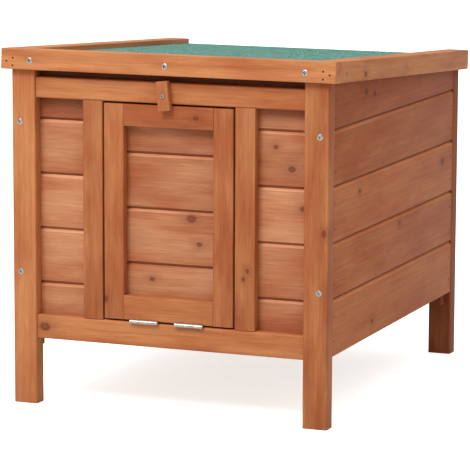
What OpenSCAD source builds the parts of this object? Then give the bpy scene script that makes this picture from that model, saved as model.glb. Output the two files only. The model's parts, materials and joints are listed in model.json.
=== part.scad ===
// A small wooden rabbit hutch: four legs, tongue and groove board walls, a ramp
// door that folds down at the front and a felted roof that lifts on two hinges.
// The front, with the door, faces -Y. Millimetres, +Z up, origin on the ground
// under the middle of the roof's outline.

/* [Body] */
// Width of the body over the legs
body_w = 400; // [320:1:600]
// Depth of the body over the legs
body_d = 494; // [380:1:700]
// Height of the roof's underside at the front face of the legs
leg_h = 403; // [360:1:560]
// Fall of the roof towards the rear, in degrees
roof_pitch = 3.53; // [1:0.01:5]

/* [Legs] */
// Width of a leg, side to side
leg_w = 30; // [24:0.5:45]
// Thickness of a leg, front to back
leg_t = 20; // [18:0.5:30]
// Rounding of the legs' long edges
leg_round = 2; // [0.5:0.1:4]
// Size of the square battens inside the corners
batten = 16; // [12:0.5:22]
// How far the battens hang below the wall boards
batten_drop = 13; // [5:0.5:30]

/* [Front and rear frames] */
// How far the legs stand proud of the rails
leg_proud = 3; // [1:0.5:6]
// Thickness of the rails, mullions and door frame
frame_t = 12; // [10:0.5:16]
// Rounding of the frames' long edges
frame_round = 2.5; // [0.5:0.1:3]
// Height of the bottom rails' lower edge above the ground
rail_z = 80; // [50:1:140]
// Height of the bottom rails
bottom_rail_h = 29; // [22:0.5:40]
// Height of the top rails
top_rail_h = 25; // [20:0.5:35]
// Height of the groove between the front top rail and the roof
shadow_gap = 8; // [4:0.5:16]
// Width of the two mullions beside the door
mullion_w = 25; // [18:0.5:35]
// Clear width between the mullions
doorway_w = 168; // [120:1:220]

/* [Wall boards] */
// Height that one board covers
board_cover = 65.8; // [60:0.2:80]
// Thickness of the front, rear and door boards
board_t = 8; // [7:0.5:10]
// Thickness of the side boards
side_board_t = 7; // [6.5:0.5:10]
// Height of the side boards' lowest edge above the rails' lower edge
side_board_lift = 3; // [0:0.5:8]
// How far the side boards lie inside the legs' outer faces
side_inset = 1; // [0.5:0.5:3]
// Depth of the rebate in each leg that holds the boards' ends
rebate = 5; // [3:0.5:6]
// Bevel along both edges of a board, which makes the V joint
bevel = 3; // [1:0.1:3.2]
// Length of a board's tongue
tongue_l = 3.5; // [2:0.1:5]
// Gap between the side boards' top edge and the roof
board_roof_gap = 1.5; // [0.6:0.1:4]

/* [Floor] */
// Thickness of the floor boards
floor_t = 9; // [8:0.5:14]
// Height of the floor's top below the bottom rail's top
floor_step = 2; // [0:0.5:6]
// Number of floor boards
floor_count = 7; // [5:1:9]
// Size of the square cleats that carry the floor
cleat = 15; // [10:0.5:20]

/* [Door] */
// Gap all round the door
door_gap = 2.2; // [2.2:0.1:3.5]
// Width of the door's stiles
stile_w = 25; // [18:0.5:35]
// Height of the door's top rail
door_top_h = 26; // [18:0.5:35]
// Height of the door's bottom rail
door_bottom_h = 29; // [20:0.5:40]
// How far the wall boards reach into the doorway as a stop for the door
door_stop = 4; // [2:0.5:5]

/* [Turn button] */
// Width of the turn button
button_w = 14.5; // [10:0.5:20]
// Length of the turn button
button_l = 34.5; // [28:0.5:36]
// Thickness of the turn button
button_t = 9; // [6:0.5:9]
// Lean of the turn button from upright, in degrees
button_lean = 6; // [-20:1:20]
// Place of the button's screw left or right of the middle
button_x = -3; // [-20:0.5:20]

/* [Roof] */
// How far the roof reaches past the body on each side
roof_side = 10; // [4:0.5:30]
// How far the roof reaches past the legs at the front and the rear
roof_end = 8; // [8:0.5:9]
// Width of the roof's rails
roof_rail_w = 28; // [20:0.5:40]
// Height of the roof's rails
roof_rail_h = 25; // [24:0.5:35]
// Thickness of the roof deck
deck_t = 10; // [8:0.5:13]
// Height of the deck above the roof rails' underside
deck_lift = 6.2; // [5:0.1:8]
// Thickness of the felt
felt_t = 2.3; // [1.5:0.1:3]

/* [Hinges and screws] */
// Length of a hinge along its pin
hinge_l = 35; // [30:0.5:50]
// Reach of a hinge leaf from its pin
leaf_w = 14; // [12:0.5:15]
// Thickness of a hinge leaf
leaf_t = 0.9; // [0.6:0.1:0.9]
// Outer radius of a hinge knuckle
knuckle_r = 2.5; // [2.2:0.1:2.5]
// Radius of a hinge pin
pin_r = 1.25; // [1:0.05:1.4]
// Distance between the middles of the two door hinges
door_hinge_gap = 57.4; // [54:0.1:110]
// Distance between the middles of the two roof hinges
lid_hinge_gap = 220; // [120:1:260]
// Place of the leg screws in from the leg's outer face
leg_screw_in = 10.5; // [10.5:0.5:14]
// Height of the lower leg screws
leg_screw_low = 160.5; // [120:0.5:200]
// Height of the upper leg screws
leg_screw_high = 341; // [280:0.5:341]

/* [Hidden] */
front_y = -body_d / 2;
back_y = body_d / 2;
// height of the roof's underside plane at a place y
function roof_z(y) = leg_h - (y - front_y) * tan(roof_pitch);

lid_gap = 0.3; // between the closed lid and the legs
fit_gap = 0.05; // round screws and pins
side_x = body_w / 2 - leg_w; // inner face of a leg
face_y = front_y + leg_proud; // front plane of the front frame
plank_y = face_y + frame_t; // front plane of the front boards
inner_y = plank_y + board_t; // inside plane of the front boards
wall_x = body_w / 2 - side_inset; // outer plane of the side boards
lining_x = wall_x - side_board_t; // inside plane of the side boards
side_z = rail_z + side_board_lift;

bottom_top = rail_z + bottom_rail_h;
top_rail_z1 = leg_h - shadow_gap;
top_rail_z0 = top_rail_z1 - top_rail_h;
rear_rail_z1 = roof_z(back_y - leg_proud) - 2;
rear_rail_z0 = rear_rail_z1 - top_rail_h;

tongue_at = 3.5; // from the exposed face to the tongue
tongue_t = 2;
tongue_gap = 0.15;
joint_gap = 0.2; // between neighbouring boards

floor_z1 = bottom_top - floor_step;
floor_z0 = floor_z1 - floor_t;
notch_gap = 0.3; // between the floor and the corner battens

door_w = doorway_w - 2 * door_gap;
door_z0 = bottom_top + door_gap;
door_z1 = top_rail_z0 - door_gap;
door_stop_gap = 0.4; // between the closed door and the boards that stop it
door_t = frame_t - door_stop_gap;
door_plank_y = face_y + door_t;
door_board_in = door_stop + 1; // from the door's edge to its boards

button_drop = 2.5; // from the middle of the top rail to the button's screw
button_z = (top_rail_z0 + top_rail_z1) / 2 - button_drop;
button_gap = 0.4;
button_y0 = face_y - button_gap - button_t;
button_screw_r = 2;

// the roof's own frame: s runs down the slope from the front legs, n is square to it
cos_p = cos(roof_pitch);
sin_p = sin(roof_pitch);
roof_s0 = -roof_end / cos_p;
roof_s1 = (body_d + roof_end - roof_rail_h * sin_p) / cos_p;
roof_x = body_w / 2 + roof_side;
deck_x = roof_x - roof_rail_w;
deck_s0 = roof_s0 + roof_rail_w;
felt_n = deck_lift + deck_t;
roof_screw_n = deck_lift + deck_t / 2;
roof_screw_in = 9; // from the side rail to the outer screws of the front rail
roof_screw_x = deck_x - roof_screw_in;
roof_screw_s = [30, 250]; // down the slope, of the side rails' screws

leaf_play = door_gap / 2 - leaf_t; // from the door hinge's middle plane to each leaf
knuckle_gap = 0.3;
knuckle_l = 12; // the middle knuckle
leaf_start = knuckle_r + 0.4;
door_axis_y = face_y - knuckle_r - 0.1;
door_axis_z = (bottom_top + door_z0) / 2;
door_hinge_shift = -1.3; // of the pair from the door's middle
door_hinge_x = [for (side = [-1, 1]) door_hinge_shift + side * door_hinge_gap / 2];
lid_hinge_x = [-lid_hinge_gap / 2, lid_hinge_gap / 2];
lid_axis_y = back_y - leg_proud + knuckle_r;
swing_gap = 0.15; // between the lid hinges' barrels and the roof
lid_axis_z = roof_z(lid_axis_y) + (lid_gap - knuckle_r - swing_gap) / cos_p;

head_proud = 0.3; // of a screw's head in front of the leg
wood_screw_r = 1.75;
wood_screw_head = 3.6;
slim_screw_r = 1.3;
slim_screw_head = 2.1;
leaf_screw_r = 1;
leaf_screw_head = leaf_screw_r + leaf_t;
leaf_screw_at = [-12, 12];
leaf_screw_out = 8.5; // from the pin to a leaf's screws
$fn = 32;

// boards that fill a height; the top one is ripped to no less than this part of a full board,
// and a remainder thinner than that widens it instead
thin_board = 0.15;
function courses(height) = ceil(height / board_cover - thin_board);
front_count = courses(leg_h - rail_z);
side_count = courses(roof_z(back_y) - side_z);
rear_count = courses(roof_z(back_y - leg_t) - rail_z);
door_count = courses(door_z1 - door_z0);

fir = "#c4773f";
fir_pale = "#c98c66";
fir_shade = "#96593a";
felt_green = "#5fa592";
zinc = "#c8c4c0";

// ---- shapes that repeat ----

module rounded_rect(w, h, r) {
    translate([r, 0]) square([w - 2 * r, h]);
    translate([0, r]) square([w, h - 2 * r]);
    for (x = [r, w - r], y = [r, h - r]) translate([x, y]) circle(r);
}

// a straight bar between two corners, with its long edges rounded
module bar(a, b, along, r) {
    size = b - a;
    if (along == "x")
        translate(a) rotate([90, 0, 90]) linear_extrude(size.x) rounded_rect(size.y, size.z, r);
    if (along == "y")
        translate([a.x, b.y, a.z]) rotate([90, 0, 0])
            linear_extrude(size.y) rounded_rect(size.x, size.z, r);
    if (along == "z")
        translate(a) linear_extrude(size.z) rounded_rect(size.x, size.y, r);
}

module box(a, b) { translate(a) cube(b - a); }

// section of a tongue and groove board: x into the wall from the exposed face, y up
module board_section(t, h, first, last, v = bevel) {
    j = joint_gap;
    foot = first ? [[0, 0], [t, 0]] : [
        [0, v + j], [v, j],
        [tongue_at - tongue_gap, j], [tongue_at - tongue_gap, tongue_l + 0.5],
        [tongue_at + tongue_t + tongue_gap, tongue_l + 0.5],
        [tongue_at + tongue_t + tongue_gap, j], [t, j]];
    head = last ? [[t, h], [0, h]] : [
        [t, h], [tongue_at + tongue_t, h], [tongue_at + tongue_t, h + tongue_l],
        [tongue_at, h + tongue_l], [tongue_at, h], [v, h], [0, h - v]];
    polygon(concat(foot, head));
}

// a board of the front wall, exposed face towards -Y
module board_x(x0, x1, y, z, t, h, first, last) {
    translate([x0, y, z]) rotate([90, 0, 90])
        linear_extrude(x1 - x0) board_section(t, h, first, last);
}

// a board of the right-hand wall, exposed face towards +X
module board_y(y0, y1, x, z, t, h, first, last) {
    translate([x, y1, z]) mirror([1, 0, 0]) rotate([90, 0, 0])
        linear_extrude(y1 - y0) board_section(t, h, first, last);
}

// everything above the roof's underside, lowered by a gap
module above_roof(gap) {
    big = 3 * (body_w + body_d);
    translate([0, front_y, leg_h - gap / cos_p]) rotate([-roof_pitch, 0, 0])
        translate([-big / 2, -big / 2, 0]) cube([big, big, leg_h]);
}

module in_roof_frame() {
    translate([0, front_y, leg_h]) rotate([-roof_pitch, 0, 0]) children();
}

// a countersunk screw along +Z with its head's face at 0; room widens it to its hole,
// whose mouth starts above the face by mouth
module screw(head_r, shank_r, length, room = 0, mouth = 0) {
    rim = 0.4;
    top = room > 0 ? room + mouth : 0;
    difference() {
        rotate_extrude() polygon([
            [0, -top], [head_r + room, -top], [head_r + room, rim],
            [shank_r + room, rim + head_r - shank_r], [shank_r + room, length - 2],
            [0, length + room]]);
        if (room == 0) translate([0, 0, -1]) cylinder(r = head_r * 0.38, h = 2, $fn = 6);
    }
}

// a flush screw whose cone fills a hinge leaf
module leaf_screw(length, room = 0) {
    rotate_extrude() polygon([
        [0, -room], [leaf_screw_head + room, -room], [leaf_screw_r + room, leaf_t],
        [leaf_screw_r + room, length - 1.5], [0, length + room]]);
}

// one hinge leaf with its pin along X: it reaches out along +Y, standing off up +Z
module hinge_leaf(middle, off) {
    spans = middle ? [[-knuckle_l / 2, knuckle_l / 2]] : [
        [-hinge_l / 2, -knuckle_l / 2 - knuckle_gap], [knuckle_l / 2 + knuckle_gap, hinge_l / 2]];
    difference() {
        union() {
            box([-hinge_l / 2, leaf_start, off], [hinge_l / 2, leaf_w, off + leaf_t]);
            for (s = spans) {
                box([s[0], 0, off], [s[1], leaf_start, off + leaf_t]);
                translate([s[0], 0, 0]) rotate([0, 90, 0]) cylinder(r = knuckle_r, h = s[1] - s[0]);
            }
        }
        translate([-hinge_l, 0, 0]) rotate([0, 90, 0]) cylinder(r = pin_r + fit_gap, h = 2 * hinge_l);
        for (x = leaf_screw_at) translate([x, leaf_screw_out, off]) leaf_screw(6, fit_gap);
    }
}

// the screws of one leaf, driven away from the pin's side
module leaf_screws(off, length, room = 0) {
    for (x = leaf_screw_at) translate([x, leaf_screw_out, off]) leaf_screw(length, room);
}

module at_door_hinges() {
    for (x = door_hinge_x) translate([x, door_axis_y, door_axis_z]) children();
}
module at_lid_hinges() {
    for (x = lid_hinge_x) translate([x, lid_axis_y, lid_axis_z]) children();
}

// the door hinges' two halves: the fixed leaf lies on the rail, the moving one under the door
module door_fixed() { at_door_hinges() mirror([0, 0, 1]) children(); }
module door_moving() { at_door_hinges() children(); }
// the roof hinges' two halves: the fixed leaf hangs on the rear rail, the moving one under the roof
module lid_fixed() { at_lid_hinges() rotate([-90, 0, 0]) mirror([0, 0, 1]) children(); }
module lid_moving() { at_lid_hinges() rotate([-roof_pitch, 0, 0]) mirror([0, 1, 0]) children(); }
lid_off = knuckle_r - leaf_t - 0.02;
lid_off_moving = lid_off + swing_gap;
screw_short = 9;
screw_lid = 13;

// ---- legs and battens ----

module leg_screw_set(room = 0) {
    for (side = [-1, 1], z = [leg_screw_low, leg_screw_high])
        translate([side * (body_w / 2 - leg_screw_in), 0, 0]) {
            translate([0, front_y - head_proud, z]) rotate([-90, 0, 0])
                screw(wood_screw_head, wood_screw_r, leg_t + batten - 2, room);
            translate([0, back_y + head_proud, z]) rotate([90, 0, 0])
                screw(wood_screw_head, wood_screw_r, leg_t + batten - 2, room);
        }
}

// the front right leg; the others are its mirror images, cut to the roof's slope
module leg(side, rear) {
    color(fir) difference() {
        mirror([side < 0 ? 1 : 0, 0, 0]) mirror([0, rear ? 1 : 0, 0]) difference() {
            bar([side_x, front_y, 0], [body_w / 2, front_y + leg_t, leg_h + 10], "z", leg_round);
            box([side_x - 1, plank_y, rail_z], [side_x + rebate, front_y + leg_t + 1, leg_h + 11]);
        }
        above_roof(lid_gap);
        leg_screw_set(fit_gap);
    }
}

module corner_batten(side, rear) {
    x0 = lining_x - batten;
    y0 = front_y + leg_t;
    color(fir_pale) difference() {
        mirror([side < 0 ? 1 : 0, 0, 0]) mirror([0, rear ? 1 : 0, 0])
            bar([x0, y0, rail_z - batten_drop], [lining_x, y0 + batten, leg_h + 10], "z", 1);
        above_roof(board_roof_gap);
        leg_screw_set(fit_gap);
    }
}

// ---- front and rear frames ----

module front_top_rail() {
    color(fir) difference() {
        bar([-side_x, face_y, top_rail_z0], [side_x, plank_y, top_rail_z1], "x", frame_round);
        turn_button_hole();
    }
}

module front_bottom_rail() {
    color(fir) difference() {
        bar([-side_x, face_y, rail_z], [side_x, plank_y, bottom_top], "x", frame_round);
        door_fixed() leaf_screws(leaf_play, screw_short, fit_gap);
    }
}

module rear_top_rail() {
    color(fir) difference() {
        mirror([0, 1, 0])
            bar([-side_x, face_y, rear_rail_z0], [side_x, plank_y, rear_rail_z1], "x", frame_round);
        lid_fixed() leaf_screws(lid_off, screw_short, fit_gap);
    }
}

module rear_bottom_rail() {
    color(fir) mirror([0, 1, 0])
        bar([-side_x, face_y, rail_z], [side_x, plank_y, bottom_top], "x", frame_round);
}

module mullion(side) {
    x0 = doorway_w / 2;
    color(fir) mirror([side < 0 ? 1 : 0, 0, 0])
        bar([x0, face_y, bottom_top], [x0 + mullion_w, plank_y, top_rail_z0], "z", 1.2);
}

// ---- walls ----

module front_boards(side) {
    color(fir_pale) difference() {
        mirror([side < 0 ? 1 : 0, 0, 0])
            for (i = [0 : front_count - 1]) {
                z = rail_z + i * board_cover;
                last = i == front_count - 1;
                board_x(doorway_w / 2 - door_stop, side_x + rebate, plank_y, z, board_t,
                    last ? leg_h - z : board_cover, i == 0, last);
            }
        above_roof(board_roof_gap);
    }
}

// closes the wall over the doorway and stops the door's top edge
module head_board() {
    x = doorway_w / 2 - door_stop - joint_gap;
    color(fir_pale) difference() {
        box([-x, plank_y, top_rail_z0 - door_stop], [x, inner_y, leg_h]);
        above_roof(board_roof_gap);
        turn_button_hole();
    }
}

// side boards are counted from the bottom; the last is tapered to the roof
module side_board(side, i) {
    z = side_z + (i - 1) * board_cover;
    last = i == side_count;
    color(fir_shade) difference() {
        mirror([side < 0 ? 1 : 0, 0, 0])
            board_y(front_y + leg_t, back_y - leg_t, wall_x, z, side_board_t,
                last ? leg_h - z : board_cover, i == 1, last);
        above_roof(board_roof_gap);
    }
}

module rear_board(i) {
    z = rail_z + (i - 1) * board_cover;
    last = i == rear_count;
    color(fir_shade) difference() {
        mirror([0, 1, 0])
            board_x(-side_x - rebate, side_x + rebate, plank_y, z, board_t,
                last ? leg_h - z : board_cover, i == 1, last);
        above_roof(board_roof_gap + 1);
    }
}

// ---- floor ----

module floor_boards() {
    pitch = -2 * inner_y / floor_count;
    batten_in = lining_x - batten - notch_gap;
    batten_y = front_y + leg_t + batten + notch_gap;
    color(fir_pale) difference() {
        for (i = [0 : floor_count - 1])
            translate([-lining_x, inner_y + i * pitch, floor_z1]) rotate([90, 0, 90]) rotate(-90)
                linear_extrude(2 * lining_x)
                    board_section(floor_t, pitch, i == 0, i == floor_count - 1, 0.6);
        for (x = [-1, 1], y = [-1, 1])
            scale([x, y, 1])
                box([batten_in, -batten_y, floor_z0 - 1], [body_w / 2, body_d, floor_z1 + 1]);
    }
    tab_x = doorway_w / 2 - door_stop - 0.5;
    color(fir_pale) box([-tab_x, plank_y, floor_z0], [tab_x, inner_y + 1, floor_z1]);
}

module floor_cleats() {
    y = front_y + leg_t + batten;
    color(fir_pale) for (side = [0, 1]) mirror([side, 0, 0])
        bar([lining_x - cleat, y, floor_z0 - cleat], [lining_x, -y, floor_z0], "y", 1);
}

// ---- door ----

module door_stile(side) {
    color(fir) mirror([side < 0 ? 1 : 0, 0, 0])
        bar([door_w / 2 - stile_w, face_y, door_z0], [door_w / 2, door_plank_y, door_z1], "z", 1.2);
}

module door_top_rail() {
    x = door_w / 2 - stile_w;
    color(fir) bar([-x, face_y, door_z1 - door_top_h], [x, door_plank_y, door_z1], "x", 1.2);
}

module door_bottom_rail() {
    x = door_w / 2 - stile_w;
    color(fir) difference() {
        bar([-x, face_y, door_z0], [x, door_plank_y, door_z0 + door_bottom_h], "x", 1.2);
        door_moving() leaf_screws(leaf_play, screw_short, fit_gap);
    }
}

module door_board(i) {
    z = door_z0 + (i - 1) * board_cover;
    x = door_w / 2 - door_board_in;
    last = i == door_count;
    color(fir_pale) board_x(-x, x, door_plank_y, z, board_t,
        last ? door_z1 - door_board_in - z : board_cover, i == 1, last);
}

// ---- turn button ----

module button_screw(room = 0) {
    rotate_extrude() polygon([
        [0, -1.4], [1.6, -1.4], [2.8, -0.6], [2.8, 0], [button_screw_r + room, 0],
        [button_screw_r + room, button_t + 9], [0, button_t + 11]]);
}

module turn_button_hole() {
    translate([button_x, button_y0, button_z]) rotate([-90, 0, 0]) button_screw(fit_gap);
}

module turn_button() {
    color(fir) translate([button_x, button_y0, button_z]) difference() {
        rotate([0, -button_lean, 0])
            bar([-button_w / 2, 0, -button_l / 2], [button_w / 2, button_t, button_l / 2], "y", 1);
        translate([0, -1, 0]) rotate([-90, 0, 0])
            cylinder(r = button_screw_r + 0.08, h = button_t + 2);
    }
}

module turn_button_screw() {
    color(zinc) translate([button_x, button_y0 - 0.05, button_z]) rotate([-90, 0, 0]) button_screw();
}

// ---- roof ----

module roof_screw_set(room = 0) {
    for (x = [-roof_screw_x, 0, roof_screw_x])
        translate([x, roof_s0 - 0.2, roof_screw_n]) rotate([-90, 0, 0])
            screw(wood_screw_head, wood_screw_r, roof_rail_w + 16, room);
    for (side = [-1, 1], s = roof_screw_s)
        translate([side * (roof_x - 0.6), s, roof_screw_n]) rotate([0, -90 * side, 0])
            screw(slim_screw_head, slim_screw_r, roof_rail_w + 16, room, 2);
}

module roof_rail_front() {
    color(fir) in_roof_frame() difference() {
        bar([-roof_x, roof_s0, lid_gap], [roof_x, deck_s0, roof_rail_h], "x", 1.2);
        roof_screw_set(fit_gap);
    }
}

module roof_rail_side(side) {
    color(fir) in_roof_frame() difference() {
        mirror([side < 0 ? 1 : 0, 0, 0])
            bar([deck_x, deck_s0, lid_gap], [roof_x, roof_s1, roof_rail_h], "y", 1.2);
        roof_screw_set(fit_gap);
    }
}

module roof_rail_rear() {
    color(fir) difference() {
        in_roof_frame() bar([-deck_x, roof_s1 - felt_t - roof_rail_w, lid_gap],
            [deck_x, roof_s1 - felt_t, deck_lift], "x", 1);
        lid_moving() leaf_screws(lid_off_moving, screw_lid, fit_gap);
    }
}

module roof_deck() {
    color(fir_pale) difference() {
        in_roof_frame() difference() {
            box([-deck_x, deck_s0, deck_lift], [deck_x, roof_s1 - felt_t, felt_n]);
            roof_screw_set(fit_gap);
        }
        lid_moving() leaf_screws(lid_off_moving, screw_lid, fit_gap);
    }
}

module roof_felt() {
    color(felt_green) in_roof_frame() {
        box([-deck_x, deck_s0, felt_n], [deck_x, roof_s1, felt_n + felt_t]);
        box([-deck_x, roof_s1 - felt_t, deck_lift], [deck_x, roof_s1, felt_n]);
    }
}

module roof_screws() { color(zinc) in_roof_frame() roof_screw_set(); }
module leg_screws() { color(zinc) leg_screw_set(); }

// ---- hinges ----

module door_hinge_fixed_leaves() { color(zinc) door_fixed() hinge_leaf(false, leaf_play); }
module door_hinge_moving_leaves() { color(zinc) door_moving() hinge_leaf(true, leaf_play); }
module door_hinge_moving_screws() { color(zinc) door_moving() leaf_screws(leaf_play, screw_short); }
module lid_hinge_fixed_leaves() { color(zinc) lid_fixed() hinge_leaf(false, lid_off); }
module lid_hinge_moving_leaves() { color(zinc) lid_moving() hinge_leaf(true, lid_off_moving); }
module lid_hinge_moving_screws() { color(zinc) lid_moving() leaf_screws(lid_off_moving, screw_lid); }

module hinge_pins() {
    reach = hinge_l / 2 + 0.6;
    color(zinc) {
        at_door_hinges() rotate([0, 90, 0]) cylinder(r = pin_r, h = 2 * reach, center = true);
        at_lid_hinges() rotate([0, 90, 0]) cylinder(r = pin_r, h = 2 * reach, center = true);
    }
}

module hinge_fixed_screws() {
    color(zinc) {
        door_fixed() leaf_screws(leaf_play, screw_short);
        lid_fixed() leaf_screws(lid_off, screw_short);
    }
}

// ---- what is drawn ----

leg(-1, false);  // leg_front_left
leg(1, false);  // leg_front_right
leg(-1, true);  // leg_rear_left
leg(1, true);  // leg_rear_right
corner_batten(-1, false);  // corner_batten_front_left
corner_batten(1, false);  // corner_batten_front_right
corner_batten(-1, true);  // corner_batten_rear_left
corner_batten(1, true);  // corner_batten_rear_right
front_top_rail();
front_bottom_rail();
rear_top_rail();
rear_bottom_rail();
mullion(-1);  // mullion_left
mullion(1);  // mullion_right
front_boards(-1);  // front_boards_left
front_boards(1);  // front_boards_right
head_board();
for (i = [1 : side_count]) {
    side_board(-1, i);
    side_board(1, i);
}
for (i = [1 : rear_count])
    rear_board(i);
floor_boards();
floor_cleats();
leg_screws();
door_stile(-1);  // door_stile_left
door_stile(1);  // door_stile_right
door_top_rail();
door_bottom_rail();
for (i = [1 : door_count])
    door_board(i);
door_hinge_fixed_leaves();
door_hinge_moving_leaves();
door_hinge_moving_screws();
turn_button();
turn_button_screw();
roof_rail_front();
roof_rail_side(-1);  // roof_rail_left
roof_rail_side(1);  // roof_rail_right
roof_rail_rear();
roof_deck();
roof_felt();
roof_screws();
lid_hinge_fixed_leaves();
lid_hinge_moving_leaves();
lid_hinge_moving_screws();
hinge_pins();
hinge_fixed_screws();
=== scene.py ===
# %% [markdown]
# # A stained fir rabbit hutch
#
# The hutch is already modelled to size: legs, rails, tongue and groove boards, a ramp door, a turn
# button and a felted lid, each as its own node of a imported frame. This lesson dresses that frame.
# We load it first, because every piece below takes its place and its body from it.

import math
import random

import bpy
import bmesh
from mathutils import Matrix, Vector
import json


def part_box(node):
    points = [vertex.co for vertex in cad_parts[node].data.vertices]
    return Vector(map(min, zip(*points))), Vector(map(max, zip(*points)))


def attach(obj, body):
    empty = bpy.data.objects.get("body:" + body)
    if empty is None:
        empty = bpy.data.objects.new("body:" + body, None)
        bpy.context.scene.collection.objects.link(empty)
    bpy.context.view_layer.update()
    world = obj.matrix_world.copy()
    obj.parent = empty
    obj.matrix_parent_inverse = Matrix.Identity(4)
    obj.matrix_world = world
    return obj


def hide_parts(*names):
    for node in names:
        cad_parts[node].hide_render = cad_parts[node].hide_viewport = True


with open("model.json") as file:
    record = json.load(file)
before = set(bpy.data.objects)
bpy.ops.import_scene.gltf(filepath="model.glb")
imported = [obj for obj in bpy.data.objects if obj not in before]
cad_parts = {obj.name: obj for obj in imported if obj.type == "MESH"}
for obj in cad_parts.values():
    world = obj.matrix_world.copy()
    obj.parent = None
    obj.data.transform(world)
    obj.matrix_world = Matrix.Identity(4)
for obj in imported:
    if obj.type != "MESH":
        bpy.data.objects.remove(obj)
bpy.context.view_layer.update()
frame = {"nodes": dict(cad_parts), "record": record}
nodes = frame["nodes"]

# %% [markdown]
# ## Camera
#
# A product picture is taken from well back with a long lens, so that the verticals stay nearly
# parallel. The eye stands 3.6 m away, to the right of the door, a little above the roof, and looks
# slightly down. Camera angles are easiest to think of as a turn about the vertical and a tilt.

# %% The eye, and where it looks
EYE = Vector((1.2826, -3.2526, 0.7520))
TURN, TILT, ROLL = math.radians(21.715), math.radians(-9.303), math.radians(0.216)
LENS_MM = 216.9

camera_data = bpy.data.cameras.new("studio_camera")
camera_data.lens = LENS_MM
camera_data.sensor_width = 36.0
camera_data.clip_end = 100.0
camera = bpy.data.objects.new("studio_camera", camera_data)
bpy.context.collection.objects.link(camera)
camera.matrix_world = (
    Matrix.Translation(EYE)
    @ Matrix.Rotation(TURN, 4, "Z")
    @ Matrix.Rotation(math.pi / 2 + TILT, 4, "X")
    @ Matrix.Rotation(ROLL, 4, "Z")
)
bpy.context.scene.camera = camera
print("distance to the hutch", round(EYE.length, 2), "m")

# %% [markdown]
# ## Light
#
# One soft box, high in front and a little to the left, lights the door side, so that the right-hand
# wall falls into a light shade. The white studio around it comes further on. A plain display
# transform keeps the stain's orange as saturated as it is.

# %% The soft box
MM = 0.001
KEY_PLACE = Vector((-0.8, -3.0, 3.3))
KEY_SIZE, KEY_WATTS = 1.3, 90
KEY_AIM = Vector((0, 0, 0.2))
bpy.context.scene.view_settings.view_transform = "Standard"

light = bpy.data.lights.new("key", "AREA")
light.shape = "SQUARE"
light.size = KEY_SIZE
light.energy = KEY_WATTS
lamp = bpy.data.objects.new("key", light)
lamp.location = KEY_PLACE
lamp.rotation_euler = (KEY_AIM - KEY_PLACE).to_track_quat("-Z", "Y").to_euler()
bpy.context.collection.objects.link(lamp)
print("key lamp", [round(v, 2) for v in lamp.location])

# %% [markdown]
# ## Small helpers
#
# Colours are easiest to judge as the hex values of a paint chart, but a shader works in linear
# light, so one function converts them. Another adds a node to any tree: it applies the node's
# settings, then either links or sets each named socket. Two short ones fill a colour ramp and start
# a material.


# %% Colour conversion and one way to add a node
def linear(hex_colour):
    """Turns an sRGB hex colour into linear red, green, blue and alpha."""
    parts = [int(hex_colour[i:i + 2], 16) / 255 for i in (1, 3, 5)]
    return [c / 12.92 if c <= 0.04045 else ((c + 0.055) / 1.055) ** 2.4 for c in parts] + [1.0]


def put(tree, kind, sockets=None, **settings):
    """Adds a node, applies its settings, then links or sets each socket by name or number."""
    node = tree.nodes.new(kind)
    for key, value in settings.items():
        setattr(node, key, value)
    for key, value in (sockets or {}).items():
        if isinstance(value, bpy.types.NodeSocket):
            tree.links.new(value, node.inputs[key])
        else:
            node.inputs[key].default_value = value
    return node


def stops(node, *pairs):
    """Sets a colour ramp from pairs of position and colour."""
    ramp = node.color_ramp
    while len(ramp.elements) < len(pairs):
        ramp.elements.new(1.0)
    for element, (place, colour) in zip(ramp.elements, pairs):
        element.position = place
        element.color = linear(colour)


def new_material(name):
    material = bpy.data.materials.new(name)
    material.use_nodes = True
    tree = material.node_tree
    shader = tree.nodes["Principled BSDF"]
    return material, tree, shader


print("#c4773f is", [round(c, 3) for c in linear("#c4773f")])

# %% [markdown]
# ## The white tent
#
# Everything round the hutch but the soft box is the white studio itself: bright overhead and dimmer
# towards its walls, as a tent is, which keeps some modelling in the shade. Seen straight by the eye
# it is plain white, as a backdrop is when it is lit on its own.

# %% A world that brightens with height
TENT_WALL, TENT_TOP = 0.12, 1.22  # brightness of the walls, and what the top adds

world = bpy.data.worlds.new("white_tent")
world.use_nodes = True
tree = world.node_tree
way_out = put(tree, "ShaderNodeTexCoord").outputs["Generated"]
height = put(tree, "ShaderNodeSeparateXYZ", {0: way_out}).outputs["Z"]
glow = put(tree, "ShaderNodeMapRange",
           {0: height, 1: 0.0, 2: 1.0, 3: TENT_WALL, 4: TENT_WALL + TENT_TOP})
straight = put(tree, "ShaderNodeLightPath").outputs["Is Camera Ray"]
brightness = put(tree, "ShaderNodeMix", {0: straight, 2: glow.outputs[0], 3: 1.0}, data_type="FLOAT")
tree.links.new(brightness.outputs[0], tree.nodes["Background"].inputs["Strength"])
tree.nodes["Background"].inputs["Color"].default_value = (1, 1, 1, 1)
bpy.context.scene.world = world
print("tent from", TENT_WALL, "at the walls to", round(TENT_WALL + TENT_TOP, 2), "overhead")

# %% [markdown]
# ## Floor
#
# A matt board, so wide that its far edge is lost. It throws most of its light back up at the hutch,
# which is why the walls grow paler towards the ground. To the eye itself it also glows, as a studio
# sweep lit from behind does, so only a faint shadow is left on it.

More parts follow.
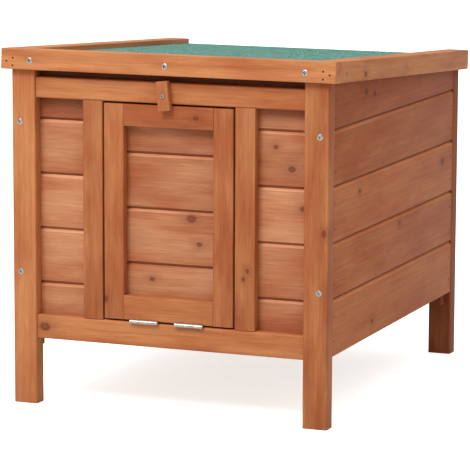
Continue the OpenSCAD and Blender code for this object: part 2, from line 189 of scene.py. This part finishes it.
# %% Floor
FLOOR_HALF = 40.0
FLOOR_GLOW = 0.68
floor_mesh = bpy.data.meshes.new("floor")
corners = [(-1, -1), (1, -1), (1, 1), (-1, 1)]
floor_mesh.from_pydata([(x * FLOOR_HALF, y * FLOOR_HALF, 0) for x, y in corners], [], [(0, 1, 2, 3)])
floor = bpy.data.objects.new("floor", floor_mesh)
bpy.context.collection.objects.link(floor)
material, tree, shader = new_material("white_studio_board")
shader.inputs["Base Color"].default_value = linear("#f4f4f4")
shader.inputs["Roughness"].default_value = 0.9
shader.inputs["Emission Color"].default_value = (1, 1, 1, 1)
shader.inputs["Emission Strength"].default_value = FLOOR_GLOW
grey = put(tree, "ShaderNodeBsdfDiffuse", {"Color": linear("#dcdcdc")})
seen = put(tree, "ShaderNodeLightPath").outputs["Is Camera Ray"]
board = put(tree, "ShaderNodeMixShader", {0: seen, 1: grey.outputs[0], 2: shader.outputs[0]})
tree.links.new(board.outputs[0], tree.nodes["Material Output"].inputs["Surface"])
floor.data.materials.append(material)
print("floor", 2 * FLOOR_HALF, "m wide")

# %% [markdown]
# ## Stained fir
#
# Fir is a softwood: pale earlywood and a thin dark line of latewood each year, 2 to 4 mm apart, with
# small tight knots. These boards were dipped in an orange-brown wood stain, which the pale wood
# drinks more of, so the whole stays orange and the lines show as a darker red-brown.
#
# An image of wood would repeat. Instead the tree itself is modelled: every piece carries an
# attribute called grain, a place in millimetres inside its own imaginary log, with x along the
# grain. The distance from the log's centre gives the year rings, so a face shows long flames and an
# end shows arcs, as sawing does. Two more attributes, knot and second_knot, hold the way from a
# knot's middle to each point, with the knot's radius, so each knot can be put where it belongs.

# %% The stained fir material
RING_MM = 3.1
RING_WOBBLE_MM = 2.4
SWAY_MM = 24.0  # how far the log's centre wanders
KNOT_PUSH_MM = 4.0  # how far a knot pushes the year rings aside
KNOT_STRETCH = 0.72  # below one, a knot is longer along the grain than across it
GRAIN_RELIEF_MM = 0.12


def stained_fir(name, tan, red, late, knot, roughness):
    """Two stain hues drift over the wood; late is the year line's colour and knot the knots'."""
    material, tree, shader = new_material(name)

    def attribute(label, output="Vector"):
        return put(tree, "ShaderNodeAttribute", attribute_name=label).outputs[output]

    def maths(operation, a, b=0.0, clamp=False):
        sockets = {0: a, 1: b}
        return put(tree, "ShaderNodeMath", sockets, operation=operation, use_clamp=clamp).outputs[0]

    def noise(along_mm, across_mm, detail=2.0):
        scale = (1 / along_mm, 1 / across_mm, 1 / across_mm)
        place = put(tree, "ShaderNodeVectorMath", {0: grain, 1: scale}, operation="MULTIPLY").outputs[0]
        sockets = {"Vector": place, "Scale": 1.0, "Detail": detail}
        return put(tree, "ShaderNodeTexNoise", sockets).outputs["Fac"]

    def mixed(amount, a, b):
        return put(tree, "ShaderNodeMix", {0: amount, 6: a, 7: b}, data_type="RGBA").outputs[2]

    def knot_masks(label):
        """A soft halo round the knot, and its hard core with a paler heart."""
        away = put(tree, "ShaderNodeSeparateXYZ", {0: attribute(label)}).outputs
        along = maths("MULTIPLY", away["X"], KNOT_STRETCH)
        square = maths("ADD", maths("MULTIPLY", along, along), maths("MULTIPLY", away["Y"], away["Y"]))
        reach = maths("DIVIDE", maths("SQRT", square), away["Z"])
        ragged = maths("ADD", reach, maths("MULTIPLY", maths("SUBTRACT", noise(4, 2.5), 0.5), 0.7))
        halo = maths("EXPONENT", maths("MULTIPLY", maths("MULTIPLY", reach, reach), -0.13))
        core = maths("MULTIPLY", maths("SUBTRACT", 1.25, ragged), 1.6, clamp=True)
        paler_heart = maths("MULTIPLY", maths("SUBTRACT", 0.75, reach, clamp=True), 0.6)
        return halo, maths("SUBTRACT", core, paler_heart)

    grain = attribute("grain")
    tone_and_painted_shade = attribute("tone_and_painted_shade", "Fac")
    groove = attribute("groove", "Fac")
    first_halo, first_core = knot_masks("knot")
    other_halo, other_core = knot_masks("second_knot")
    halo = maths("MAXIMUM", first_halo, other_halo)
    core = maths("MAXIMUM", first_core, other_core)

    # distance from the log's centre, bent a little by slow noise and pushed aside round each knot
    parts = put(tree, "ShaderNodeSeparateXYZ", {0: grain}).outputs
    sway = maths("MULTIPLY", maths("SUBTRACT", noise(300, 60), 0.5), SWAY_MM)
    side = maths("ADD", parts["Y"], sway)
    square = maths("ADD", maths("MULTIPLY", side, side), maths("MULTIPLY", parts["Z"], parts["Z"]))
    radius = maths("ADD", maths("SQRT", square), maths("MULTIPLY", halo, KNOT_PUSH_MM))
    wobble = maths("MULTIPLY", noise(60, 9, 3.0), RING_WOBBLE_MM)
    years = maths("DIVIDE", maths("ADD", radius, wobble), RING_MM)
    line = put(tree, "ShaderNodeValToRGB", {0: maths("FRACT", years)})
    stops(line, (0.0, "#303030"), (0.2, "#101010"), (0.6, "#585858"), (0.88, "#c8c8c8"), (1.0, "#303030"))
    sockets = {0: noise(420, 26), 1: 0.35, 2: 0.7, 3: 0.03, 4: 0.36}
    drift = put(tree, "ShaderNodeMapRange", sockets).outputs[0]
    strength = maths("MULTIPLY", drift, line.outputs[0])

    # fibres are streaks about a millimetre wide, coarser than real ones so that they show, and the
    # bands are broader ones where more stain went in
    fibres = noise(26, 1.1, 4.0)
    bands = noise(190, 4.5, 4.0)
    blotch = maths("ADD", noise(110, 30, 3.0), maths("MULTIPLY", tone_and_painted_shade, -0.25))
    hue = put(tree, "ShaderNodeMapRange", {0: blotch, 1: 0.36, 2: 0.64}).outputs[0]
    stain = mixed(strength, mixed(hue, linear(tan), linear(red)), linear(late))
    # where more stain lies the wood is darker and also redder, which a gamma above one gives
    shade = maths("ADD", maths("MULTIPLY", fibres, 0.5), maths("MULTIPLY", bands, 0.34))
    # tone also carries painted shade: very low values darken the rear legs, the corner battens and the
    # wood behind the top rail
    shade = maths("ADD", maths("ADD", shade, 0.58), maths("MULTIPLY", tone_and_painted_shade, 0.34))
    # a value below zero lightens an upper bevel: painted highlight
    shade = maths("SUBTRACT", shade, maths("MINIMUM", groove, 0.0))
    deeper = maths("ADD", 1.0, maths("MULTIPLY", maths("SUBTRACT", 1.0, shade), 0.35))
    scaled = put(tree, "ShaderNodeVectorMath", {0: stain, "Scale": shade}, operation="SCALE").outputs[0]
    toned = put(tree, "ShaderNodeGamma", {0: scaled, 1: deeper}).outputs[0]
    ringed = mixed(maths("MULTIPLY", halo, 0.5), toned, linear(late))
    knotty = mixed(maths("MULTIPLY", core, 0.8), ringed, linear(knot))
    # a value above zero darkens a lower bevel towards the knot colour: stain in the joint and painted
    # shade
    colour = mixed(groove, knotty, linear(knot))
    tree.links.new(colour, shader.inputs["Base Color"])

    # latewood and fibres stand up to about a tenth of a millimetre proud of the earlywood
    height = maths("ADD", maths("MULTIPLY", fibres, 0.6), maths("MULTIPLY", strength, 0.4))
    bump = put(tree, "ShaderNodeBump",
               {"Strength": 0.4, "Distance": GRAIN_RELIEF_MM * MM, "Height": height})
    tree.links.new(bump.outputs[0], shader.inputs["Normal"])
    rough = maths("ADD", maths("MULTIPLY", fibres, 0.2), roughness - 0.1)
    tree.links.new(rough, shader.inputs["Roughness"])
    shader.inputs["IOR"].default_value = 1.5
    shader.inputs["Specular IOR Level"].default_value = 0.35
    return material


FIR_FRAME = stained_fir("stained_fir_planed_bars", "#bd7644", "#a9592c", "#853f1e", "#622207", 0.58)
FIR_BOARDS = stained_fir("stained_fir_boards", "#c08159", "#ad623b", "#8c4826", "#622207", 0.6)
# the side boards' copy of the board stain is darker and redder: painted shade, matched to the right-hand
# wall in the soft box's shade
FIR_SIDES_SHADED = stained_fir("stained_fir_side_boards_shaded", "#b86d3c", "#ab592c", "#8a4526", "#622207", 0.62)
FIR_PALE = stained_fir("bare_fir_inside", "#cfae85", "#c49a6b", "#a87c50", "#5a3018", 0.65)
print("wood materials", [m.name for m in bpy.data.materials if "fir" in m.name])

# %% [markdown]
# ## Timber pieces
#
# Planed timber never has knife-sharp edges: a pass of sandpaper takes off half a millimetre or so,
# and that small round catches the light all along a board. Each wooden node is copied, its loose
# triangles are merged into clean faces, a Bevel rounds what is sharp, and the grain attribute is
# written. Boards in one node are separate islands, and each island gets its own log.


# %% Copy a node as a clean mesh
WELD_MM = 0.004


def merged_copy(node):
    """A welded copy of a node's mesh with its flat faces joined up."""
    bm = bmesh.new()
    bm.from_mesh(nodes[node].data)
    bmesh.ops.remove_doubles(bm, verts=bm.verts, dist=WELD_MM * MM)
    bmesh.ops.dissolve_limit(bm, angle_limit=math.radians(0.4), verts=bm.verts, edges=bm.edges)
    mesh = bpy.data.meshes.new(node + "_copy")
    bm.to_mesh(mesh)
    bm.free()
    return mesh


def finished(maker, name):
    """The evaluated result of an object's modifiers as a new plain object of its own."""
    depsgraph = bpy.context.evaluated_depsgraph_get()
    mesh = bpy.data.meshes.new_from_object(maker.evaluated_get(depsgraph))
    mesh.name = name
    bpy.data.objects.remove(maker)
    piece = bpy.data.objects.new(name, mesh)
    bpy.context.collection.objects.link(piece)
    return piece


def islands(mesh):
    """Numbers each connected part of a mesh: a list with one number per vertex."""
    parent = list(range(len(mesh.vertices)))

    def root(v):
        while parent[v] != v:
            parent[v] = parent[parent[v]]
            v = parent[v]
        return v

    for edge in mesh.edges:
        a, b = (root(v) for v in edge.vertices)
        parent[max(a, b)] = min(a, b)
    order = {}
    return [order.setdefault(root(v), len(order)) for v in range(len(parent))]


print("islands in front_boards_left", max(islands(merged_copy("front_boards_left"))) + 1)

# %% [markdown]
# The log's centre lies behind a board, some way off its middle, so most faces are flat-sawn with
# the odd quarter-sawn one. The number that seeds a piece is made from its name, which keeps every
# run the same. The pieces that face the eye have their knots set one by one, as places on the hutch
# in millimetres and a radius. Any other piece may get one or two by chance.

# %% Knots set one by one: x, y, z and radius
KNOTS = {
    "door_board_1": [(-25, -230, 160, 2.5)],
    "door_board_2": [(35, -230, 205, 2.5), (25, -230, 235, 4.5)],
    "door_board_3": [], "door_board_4": [],
    "door_stile_left": [(-80, -245, 135, 3)], "door_stile_right": [],
    "door_top_rail": [(35, -245, 355, 2.5)], "door_bottom_rail": [],
    "front_boards_left": [],
    "front_boards_right": [(130, -230, 325, 2.5), (150, -230, 300, 3.5), (165, -230, 255, 3.5)],
    "front_top_rail": [], "front_bottom_rail": [(-160, -245, 95, 5)],
    "mullion_left": [], "mullion_right": [(100, -245, 180, 2), (95, -245, 170, 2)],
    "leg_front_left": [], "leg_front_right": [(195, -245, 230, 3)],
    "side_board_right_1": [(200, -85, 100, 2.5)],
    "side_board_right_2": [(200, 15, 205, 2.5)],
    "side_board_right_3": [(200, -135, 265, 2.5), (200, 185, 260, 4.5)],
    "side_board_right_4": [],
    "side_board_right_5": [(200, -115, 380, 4), (200, -85, 375, 3.5)],
    "roof_rail_front": [], "roof_rail_right": [(210, -150, 405, 3)],
    "turn_button": [],
}
print("knots set", sum(len(places) for places in KNOTS.values()), "on", len(KNOTS), "pieces")

# %% [markdown]
# Tone lightens or darkens a whole board: 0.4 is a pale one and -0.4 a dark, thirsty one. Much lower
# tones paint in the shade of the rear legs, the inside corners and the space behind the top rail,
# which the open white tent would otherwise fill with light.

# %% Tones set one by one, from a piece's lowest board to its highest
DEEP_SHADE = -1.6
TONES_AND_SHADES = {
    "leg_front_left": [0.3], "leg_front_right": [-0.1],
    "leg_rear_left": [-0.7], "leg_rear_right": [-0.7],
    "corner_batten_front_left": [-1.0], "corner_batten_front_right": [-1.0],
    "corner_batten_rear_left": [-1.0], "corner_batten_rear_right": [-1.0],
    "front_top_rail": [0.2], "front_bottom_rail": [0.25],
    "mullion_left": [-0.1], "mullion_right": [-0.1],
    "door_stile_left": [-0.05], "door_stile_right": [-0.1],
    "door_top_rail": [-0.1], "door_bottom_rail": [0.05],
    "door_board_1": [0.05], "door_board_2": [0.1], "door_board_3": [-0.1], "door_board_4": [-0.2],
    "front_boards_left": [0.0, 0.25, 0.4, 0.1, -0.3],
    "front_boards_right": [-0.1, 0.1, 0.3, 0.0, 0.05],
    "side_board_right_1": [0.1], "side_board_right_2": [-0.05], "side_board_right_3": [0.1],
    "side_board_right_4": [-0.2], "side_board_right_5": [-0.35],
    "roof_rail_front": [0.32], "roof_rail_right": [0.22], "roof_rail_left": [0.35],
    "turn_button": [0.1], "head_board": [DEEP_SHADE],
}
# above this height the front boards are painted in deep shade
SHADED_ABOVE = 0.385  # metres; the front boards are in deep shade above this height
print("tones set on", len(TONES_AND_SHADES), "pieces")

# %% Write the grain
ALONG = {"x": Vector((1, 0, 0)), "y": Vector((0, 1, 0)), "z": Vector((0, 0, 1))}
FAR = 9999.0  # millimetres; stands for a knot that isn't there
ROOF_FALL = math.radians(3.53)
ALONG["slope"] = Vector((0, math.cos(ROOF_FALL), -math.sin(ROOF_FALL)))
FACING = {"x": Vector((0, -1, 0)), "y": Vector((1, 0, 0)), "z": Vector((0, -1, 0)),
          "slope": Vector((0, 0, 1))}


def write_grain(mesh, name, along, facing, spread):
    """Stores each point's place in its island's log, its way from two knots, a tone with painted shade,
    and a bevel value of joint stain, painted shade and painted highlight.
    """
    dice = random.Random(sum((i + 1) * ord(c) for i, c in enumerate(name)))
    number = islands(mesh)
    direction = ALONG[along]
    out = (facing - direction * facing.dot(direction)).normalized()
    across = direction.cross(out)

    def local(place):
        return Vector((place.dot(direction), place.dot(across), place.dot(out))) / MM

    boards = []
    count = max(number) + 1
    levels = [min(v.co.z for v, k in zip(mesh.vertices, number) if k == n) for n in range(count)]
    rank = {n: r for r, n in enumerate(sorted(range(count), key=lambda n: levels[n]))}
    for n in range(count):
        places = [local(v.co) for v, k in zip(mesh.vertices, number) if k == n]
        low = Vector([min(p[i] for p in places) for i in range(3)])
        high = Vector([max(p[i] for p in places) for i in range(3)])
        log = Vector((dice.uniform(-4000, 4000), dice.uniform(-26, 26), dice.uniform(24, 78)))
        shade = dice.uniform(-spread, spread)
        if name in TONES_AND_SHADES:
            shade = TONES_AND_SHADES[name][min(rank[n], len(TONES_AND_SHADES[name]) - 1)]
        knots = [(local(Vector(k[:3]) * MM), k[3]) for k in KNOTS.get(name, ())]
        knots = [(k, r) for k, r in knots if all(low[i] - r < k[i] < high[i] + r for i in (0, 1))]
        for _ in range(0 if name in KNOTS else dice.choice((0, 0, 1, 1, 2))):
            chance = Vector([low[i] + (high[i] - low[i]) * dice.uniform(0.1, 0.9) for i in range(3)])
            knots.append((chance, dice.uniform(1.5, 3.6)))
        knots = (knots + 2 * [(Vector((FAR, FAR, 0)), 1.0)])[:2]
        boards.append(((low + high) / 2, log, shade, knots))

    values = {"grain": [], "knot": [], "second_knot": [], "tone_and_painted_shade": []}
    for vertex, n in zip(mesh.vertices, number):
        middle, log, shade, knots = boards[n]
        place = local(vertex.co)
        values["grain"].extend(place - middle + log)
        # painted deep shade on the front boards above SHADED_ABOVE, behind the top rail
        in_painted_shade = name.startswith("front_boards") and vertex.co.z > SHADED_ABOVE
        values["tone_and_painted_shade"].append(DEEP_SHADE if in_painted_shade else shade)
        for label, (knot, radius) in zip(("knot", "second_knot"), knots):
            values[label].extend((place.x - knot.x, place.y - knot.y, radius))
    # bevels that face down are darkened, for stain in the joint and for painted shade, and bevels that
    # face up are lightened as a painted highlight
    groove = []
    for face in mesh.polygons:
        slanted = "board" in name and 0.3 < face.normal.dot(out) < 0.95
        groove.append((0.6 if face.normal.z < 0 else -0.3) if slanted else 0.0)
    mesh.attributes.new("groove", "FLOAT", "FACE").data.foreach_set("value", groove)
    for label, numbers in values.items():
        kind, field = ("FLOAT", "value") if label == "tone_and_painted_shade" else ("FLOAT_VECTOR", "vector")
        mesh.attributes.new(label, kind, "POINT").data.foreach_set(field, numbers)


def timber(node, along, material, body, spread=0.35, edge_mm=0.6, facing=None):
    """Replaces a wooden node by a copy with rounded edges, its own grain and a stained finish."""
    maker = bpy.data.objects.new(node + "_maker", merged_copy(node))
    bpy.context.collection.objects.link(maker)
    bevel = maker.modifiers.new("sanded_edges", "BEVEL")
    bevel.width = edge_mm * MM
    bevel.segments = 2
    bevel.limit_method = "ANGLE"
    bevel.angle_limit = math.radians(28)
    bevel.use_clamp_overlap = True
    piece = finished(maker, node + "_timber")
    piece.data.materials.clear()
    piece.data.materials.append(material)
    write_grain(piece.data, node, along, facing or FACING[along], spread)
    piece.data.shade_smooth()
    piece.data.set_sharp_from_angle(angle=math.radians(34))
    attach(piece, body)
    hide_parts(node)
    return piece


body_of = {n: body for body, names in frame["record"]["behaviour"]["bodies"].items() for n in names}

# %% [markdown]
# ## Cutting list
#
# Which way does the grain run? Along the length of every stick: up the legs, stiles, mullions and
# battens, across the rails and the front boards, and back along the side boards and roof rails.

# %% Make every timber
back = Vector((0, 1, 0))
left = Vector((-1, 0, 0))
uprights = [n for n in nodes if n.startswith(("leg_", "corner_batten", "mullion", "door_stile"))
            and n != "leg_screws"]
crosswise = ["front_top_rail", "front_bottom_rail", "rear_top_rail", "rear_bottom_rail",
             "door_top_rail", "door_bottom_rail"]
front_planks = [n for n in nodes if n.startswith(("front_boards", "door_board_"))]
side_planks = [n for n in nodes if n.startswith("side_board_")]
rear_planks = [n for n in nodes if n.startswith("rear_board_")]

for name in uprights:
    timber(name, "z", FIR_FRAME, body_of[name], edge_mm=0.5, spread=0.25)
for name in crosswise:
    timber(name, "x", FIR_FRAME, body_of[name], edge_mm=0.5, spread=0.25)
for name in front_planks:
    timber(name, "x", FIR_BOARDS, body_of[name], edge_mm=0.35)
timber("head_board", "x", FIR_BOARDS, "hutch", edge_mm=0.35)
for name in side_planks:
    facing = ALONG["x"] if "right" in name else left
    timber(name, "y", FIR_SIDES_SHADED, "hutch", edge_mm=0.35, facing=facing)
for name in rear_planks:
    timber(name, "x", FIR_BOARDS, "hutch", edge_mm=0.35, facing=back)
timber("roof_rail_front", "x", FIR_FRAME, "lid", facing=ALONG["z"])
for name in ("roof_rail_left", "roof_rail_right"):
    timber(name, "slope", FIR_FRAME, "lid", facing=ALONG["x"] if "right" in name else left)
timber("roof_rail_rear", "x", FIR_FRAME, "lid")
timber("roof_deck", "slope", FIR_PALE, "lid", edge_mm=0.2)
timber("floor_boards", "x", FIR_PALE, "hutch", edge_mm=0.3, facing=ALONG["z"])
timber("floor_cleats", "y", FIR_PALE, "hutch")
timber("turn_button", "z", FIR_FRAME, "button", edge_mm=0.7)

# %% [markdown]
# ## Zinc-plated steel
#
# Screws, hinge leaves and pins are mild steel with a bright zinc coat: a pale grey metal with a soft
# sheen. Barrel plating leaves it slightly mottled, and handling dulls it. Hinge leaves and pins keep
# their own shape and only change their finish.

# %% Zinc
MOTTLE_MM = 2.5
zinc, tree, shader = new_material("zinc_plated_steel")
place = put(tree, "ShaderNodeTexCoord").outputs["Object"]
mottle = put(tree, "ShaderNodeTexNoise",
             {"Vector": place, "Scale": 1 / (MOTTLE_MM * MM), "Detail": 3.0}).outputs["Fac"]
colour = put(tree, "ShaderNodeValToRGB", {0: mottle})
stops(colour, (0.3, "#bcb8b6"), (0.7, "#d6d2ce"))
tree.links.new(colour.outputs[0], shader.inputs["Base Color"])
shader.inputs["Metallic"].default_value = 1.0
rough = put(tree, "ShaderNodeMapRange", {0: mottle, 3: 0.28, 4: 0.46})
tree.links.new(rough.outputs[0], shader.inputs["Roughness"])
scratch = put(tree, "ShaderNodeBump", {"Strength": 0.05, "Distance": 0.03 * MM, "Height": mottle})
tree.links.new(scratch.outputs[0], shader.inputs["Normal"])

plain_hardware = [n for n in nodes if "hinge" in n]
for name in plain_hardware:
    nodes[name].data.materials.clear()
    nodes[name].data.materials.append(zinc)
print("hardware that keeps its own shape", plain_hardware)

# %% [markdown]
# ## Screws and nails
#
# Every screw is the same screw, so it is made once and placed many times: the textbook case for
# Geometry Nodes. The tree makes a flat countersunk head with a bevelled rim, cuts a cross recess
# into it with a Boolean, and sets a copy on each point, turned to face the way the point's facing
# attribute says. Nails are the same tree without the cross. Realize Instances and Set Material
# close the tree, so that the result is one plain mesh.


# %% A tree that sets a fastener on every point
CROWN_SHARE = 0.8  # the flat top's radius as a share of the head's
CROSS_SHARES = (1.25, 0.36, 1.1)  # the cross's length, width and depth over both sides, likewise
SPIN = 0.7  # radians either way that a cross stands off the upright


def fastener_tree(name, crossed):
    tree = bpy.data.node_groups.new(name, "GeometryNodeTree")
    sockets = tree.interface
    sockets.new_socket("Geometry", in_out="INPUT", socket_type="NodeSocketGeometry")
    for label, default in (("Head Radius", 3.0 * MM), ("Rim", 0.4 * MM), ("Shank Radius", 1.6 * MM),
                           ("Length", 20 * MM)):
        sockets.new_socket(label, in_out="INPUT", socket_type="NodeSocketFloat").default_value = default
    sockets.new_socket("Finish", in_out="INPUT", socket_type="NodeSocketMaterial")
    sockets.new_socket("Geometry", in_out="OUTPUT", socket_type="NodeSocketGeometry")
    given = put(tree, "NodeGroupInput").outputs

    def sum_of(a, b, operation="ADD"):
        return put(tree, "ShaderNodeMath", {0: a, 1: b}, operation=operation).outputs[0]

    def cone(top, bottom, depth, foot, sides=24):
        shape = {"Vertices": sides, "Side Segments": 1, "Radius Top": top, "Radius Bottom": bottom,
                 "Depth": depth}
        body = put(tree, "GeometryNodeMeshCone", shape).outputs["Mesh"]
        up = put(tree, "ShaderNodeCombineXYZ", {2: foot}).outputs[0]
        return put(tree, "GeometryNodeTransform", {"Geometry": body, "Translation": up}).outputs[0]

    radius, rim, shank, length = (given[n] for n in ("Head Radius", "Rim", "Shank Radius", "Length"))
    crown = sum_of(radius, CROWN_SHARE, "MULTIPLY")
    sink = sum_of(radius, shank, "SUBTRACT")
    under = sum_of(sink, -1.0, "MULTIPLY")
    head = [cone(crown, radius, rim, 0.0), cone(radius, shank, sink, under),
            cone(shank, shank, length, sum_of(under, length, "SUBTRACT"))]
    whole = put(tree, "GeometryNodeMeshBoolean", operation="UNION", solver="EXACT")
    for part in head:
        tree.links.new(part, whole.inputs[1])
    shape = whole.outputs[0]
    if crossed:
        wide, slot, deep = (sum_of(radius, k, "MULTIPLY") for k in CROSS_SHARES)
        cut = put(tree, "GeometryNodeMeshBoolean", {0: shape}, operation="DIFFERENCE", solver="EXACT")
        for sides in ((wide, slot), (slot, wide)):
            size = put(tree, "ShaderNodeCombineXYZ", {0: sides[0], 1: sides[1], 2: deep}).outputs[0]
            bar = put(tree, "GeometryNodeMeshCube", {"Size": size}).outputs["Mesh"]
            tree.links.new(bar, cut.inputs[1])
        shape = cut.outputs[0]
    facing = put(tree, "GeometryNodeInputNamedAttribute", {"Name": "facing"},
                 data_type="FLOAT_VECTOR").outputs[0]
    turned = put(tree, "FunctionNodeAlignRotationToVector", {"Vector": facing}, axis="Z").outputs[0]
    spin = put(tree, "FunctionNodeRandomValue", {2: -SPIN, 3: SPIN, "Seed": 7},
               data_type="FLOAT").outputs[1]
    about = put(tree, "ShaderNodeCombineXYZ", {2: spin}).outputs[0]
    rotation = put(tree, "FunctionNodeRotateRotation", {0: turned, 1: about},
                   rotation_space="LOCAL").outputs[0]
    points = put(tree, "GeometryNodeMeshToPoints", {"Mesh": given["Geometry"]}).outputs[0]
    placed = put(tree, "GeometryNodeInstanceOnPoints",
                 {"Points": points, "Instance": shape, "Rotation": rotation}).outputs[0]
    real = put(tree, "GeometryNodeRealizeInstances", {0: placed}).outputs[0]
    done = put(tree, "GeometryNodeSetMaterial", {"Geometry": real, "Material": given["Finish"]}).outputs[0]
    put(tree, "NodeGroupOutput", {0: done})
    return tree


def fasteners(name, tree, spots, finish, body, slot, **sizes):
    """Sets one fastener on each spot, a place and a facing, and makes the result a plain piece."""
    mesh = bpy.data.meshes.new(name + "_points")
    mesh.from_pydata([tuple(place) for place, _ in spots], [], [])
    facing = [c for _, way in spots for c in way]
    mesh.attributes.new("facing", "FLOAT_VECTOR", "POINT").data.foreach_set("vector", facing)
    maker = bpy.data.objects.new(name + "_maker", mesh)
    bpy.context.collection.objects.link(maker)
    modifier = maker.modifiers.new("fasteners", "NODES")
    modifier.node_group = tree
    values = {label.replace("_", " ").title(): value for label, value in sizes.items()}
    values["Finish"] = finish
    for item in tree.interface.items_tree:
        if item.in_out == "INPUT" and item.name in values:
            modifier[item.identifier] = values[item.name]
    piece = finished(maker, name)
    piece.data.set_sharp_from_angle(angle=math.radians(30))
    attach(piece, body)
    print(name, len(spots), "fasteners,", len(piece.data.polygons), "faces")
    return piece


SCREW = fastener_tree("cross_head_screw", True)
NAIL = fastener_tree("lost_head_nail", False)

# %% [markdown]
# The screws' places come from the frame's own screws: each island's head end is its far end in the
# direction that it faces. Legs and the roof's front rail have large heads, the roof's side rails
# slim ones, and the turn button one of its own, which stands proud of the wood.


# %% Set the screws
def heads(node, ways):
    """The middle of each screw's head, with the direction out of ways that it faces."""
    mesh = merged_copy(node)
    number = islands(mesh)
    found = []
    for n in range(max(number) + 1):
        points = [v.co for v, k in zip(mesh.vertices, number) if k == n]
        middle = sum(points, Vector()) / len(points)
        size = [max(p[i] for p in points) - min(p[i] for p in points) for i in range(3)]
        axis = size.index(max(size))
        way = min((w for w in ways if abs(w[axis]) > 0.9), key=lambda w: -w.dot(middle))
        far = max(p.dot(way) for p in points)
        rim = [p for p in points if p.dot(way) > far - 0.05 * MM]
        found.append((sum(rim, Vector()) / len(rim), way))
    bpy.data.meshes.remove(mesh)
    return found


LARGE = {"head_radius": 3.6 * MM, "rim": 0.3 * MM, "length": 14 * MM}
SLIM = {"head_radius": 2.1 * MM, "rim": 0.2 * MM, "shank_radius": 1.2 * MM, "length": 14 * MM}
PROUD = {"head_radius": 2.9 * MM, "rim": 1.1 * MM, "length": 16 * MM}
PROUD_IN = 1.2 * MM  # from the top of the proud head to its rim

front = Vector((0, -1, 0))
right = Vector((1, 0, 0))
leg_heads = heads("leg_screws", (front, -front))
roof_heads = heads("roof_screws", (-ALONG["slope"], right, -right))
leg_piece = fasteners("leg_screws_zinc", SCREW, leg_heads, zinc, "hutch", "zinc_plated_steel", **LARGE)
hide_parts("leg_screws")
big = [h for h in roof_heads if abs(h[1].x) < 0.5]
slim = [h for h in roof_heads if abs(h[1].x) > 0.5]
roof_piece = fasteners("roof_front_screws_zinc", SCREW, big, zinc, "lid", "zinc_plated_steel", **LARGE)
fasteners("roof_side_screws_zinc", SCREW, slim, zinc, "lid", "zinc_plated_steel", **SLIM)
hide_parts("roof_screws")
low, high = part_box("turn_button_screw")
button_spot = [(Vector(((low.x + high.x) / 2, low.y + PROUD_IN, (low.z + high.z) / 2)), front)]
button_piece = fasteners("turn_button_screw_zinc", SCREW, button_spot, zinc, "hutch",
                         "zinc_plated_steel", **PROUD)
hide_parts("turn_button_screw")

# %% [markdown]
# Nails show as small dark dents: their lost heads are punched below the face, and the dent fills with
# stain and lies in its own shade. Three hold each end of the roof's front rail, and two each end of a side
# board. Here each is a small dark disc a hair proud of the wood, coloured as stain plus painted shade,
# since a true dent would be too fine to see.

# %% Nails
ROOF_NAIL_PLACES = ((15, 15), (7, 11), (15, 6))  # in from the rail's end and up from its foot, mm
SIDE_NAIL_SHARES = (0.22, 0.7)  # up a side board's own height
SIDE_NAIL_MARGIN = 4 * MM
FRONT_END_IN, REAR_END_IN = 6 * MM, 7 * MM
NAIL_PROUD_MM = 0.2
DENT = {"rim": 0.1 * MM, "shank_radius": 0.8 * MM, "length": 4 * MM}

dent_stain_and_shade, tree, shader = new_material("nail_dent_stain_and_painted_shade")
# the dent's dark colour is stain in the hollow plus painted shade
shader.inputs["Base Color"].default_value = linear("#2a120a")
shader.inputs["Roughness"].default_value = 0.7
low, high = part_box("roof_rail_front")
slope_front = -ALONG["slope"]
nails = []
for end, inward in ((low.x, 1), (high.x, -1)):
    for step, up in ROOF_NAIL_PLACES:
        # the rail's front face leans back with the roof, by this much at the nail's height
        lean = math.tan(ROOF_FALL) * up
        place = Vector((end + inward * step * MM, low.y + (lean - NAIL_PROUD_MM) * MM, low.z + up * MM))
        nails.append((place, slope_front))
fasteners("roof_nails", NAIL, nails, dent_stain_and_shade, "lid", "zinc_plated_steel", head_radius=1.2 * MM, **DENT)
side_nails = []
for name in side_planks:
    low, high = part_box(name)
    way = right if "right" in name else -right
    for y in (low.y + FRONT_END_IN, high.y - REAR_END_IN):
        # the highest board is cut to the roof's slope
        fall = (y - low.y) * math.tan(ROOF_FALL) if name.endswith("_5") else 0
        for share in SIDE_NAIL_SHARES:
            z = low.z + SIDE_NAIL_MARGIN + (high.z - fall - low.z - 2 * SIDE_NAIL_MARGIN) * share
            side_nails.append((Vector((high.x if "right" in name else low.x, y, z)), way))
fasteners("side_board_nails", NAIL, side_nails, dent_stain_and_shade, "hutch", "zinc_plated_steel",
          head_radius=1.4 * MM, **DENT)

# %% [markdown]
# ## Mineral felt
#
# Roofing felt is a bitumen sheet rolled in crushed slate, dyed green here. Each granule is a little
# over a millimetre across and its own shade, from dark sea green to nearly white.

# %% Felt
GRANULE_MM = 1.3
felt, tree, shader = new_material("green_mineral_felt")
place = put(tree, "ShaderNodeTexCoord").outputs["Object"]
granules = put(tree, "ShaderNodeTexVoronoi", {"Vector": place, "Scale": 1 / (GRANULE_MM * MM)})
shade = put(tree, "ShaderNodeSeparateColor", {0: granules.outputs["Color"]}).outputs["Red"]
colour = put(tree, "ShaderNodeValToRGB", {0: shade})
stops(colour, (0.0, "#0f3f35"), (0.35, "#296857"), (0.72, "#459081"), (1.0, "#b3d8cc"))
tree.links.new(colour.outputs[0], shader.inputs["Base Color"])
shader.inputs["Roughness"].default_value = 0.85
lumps = put(tree, "ShaderNodeBump",
            {"Strength": 0.6, "Distance": 0.4 * MM, "Height": granules.outputs["Distance"]}, invert=True)
tree.links.new(lumps.outputs[0], shader.inputs["Normal"])
nodes["roof_felt"].data.materials.clear()
nodes["roof_felt"].data.materials.append(felt)
print("felt granules", GRANULE_MM, "mm")

# %% [markdown]
# ## Finish

# %% The last line
import json
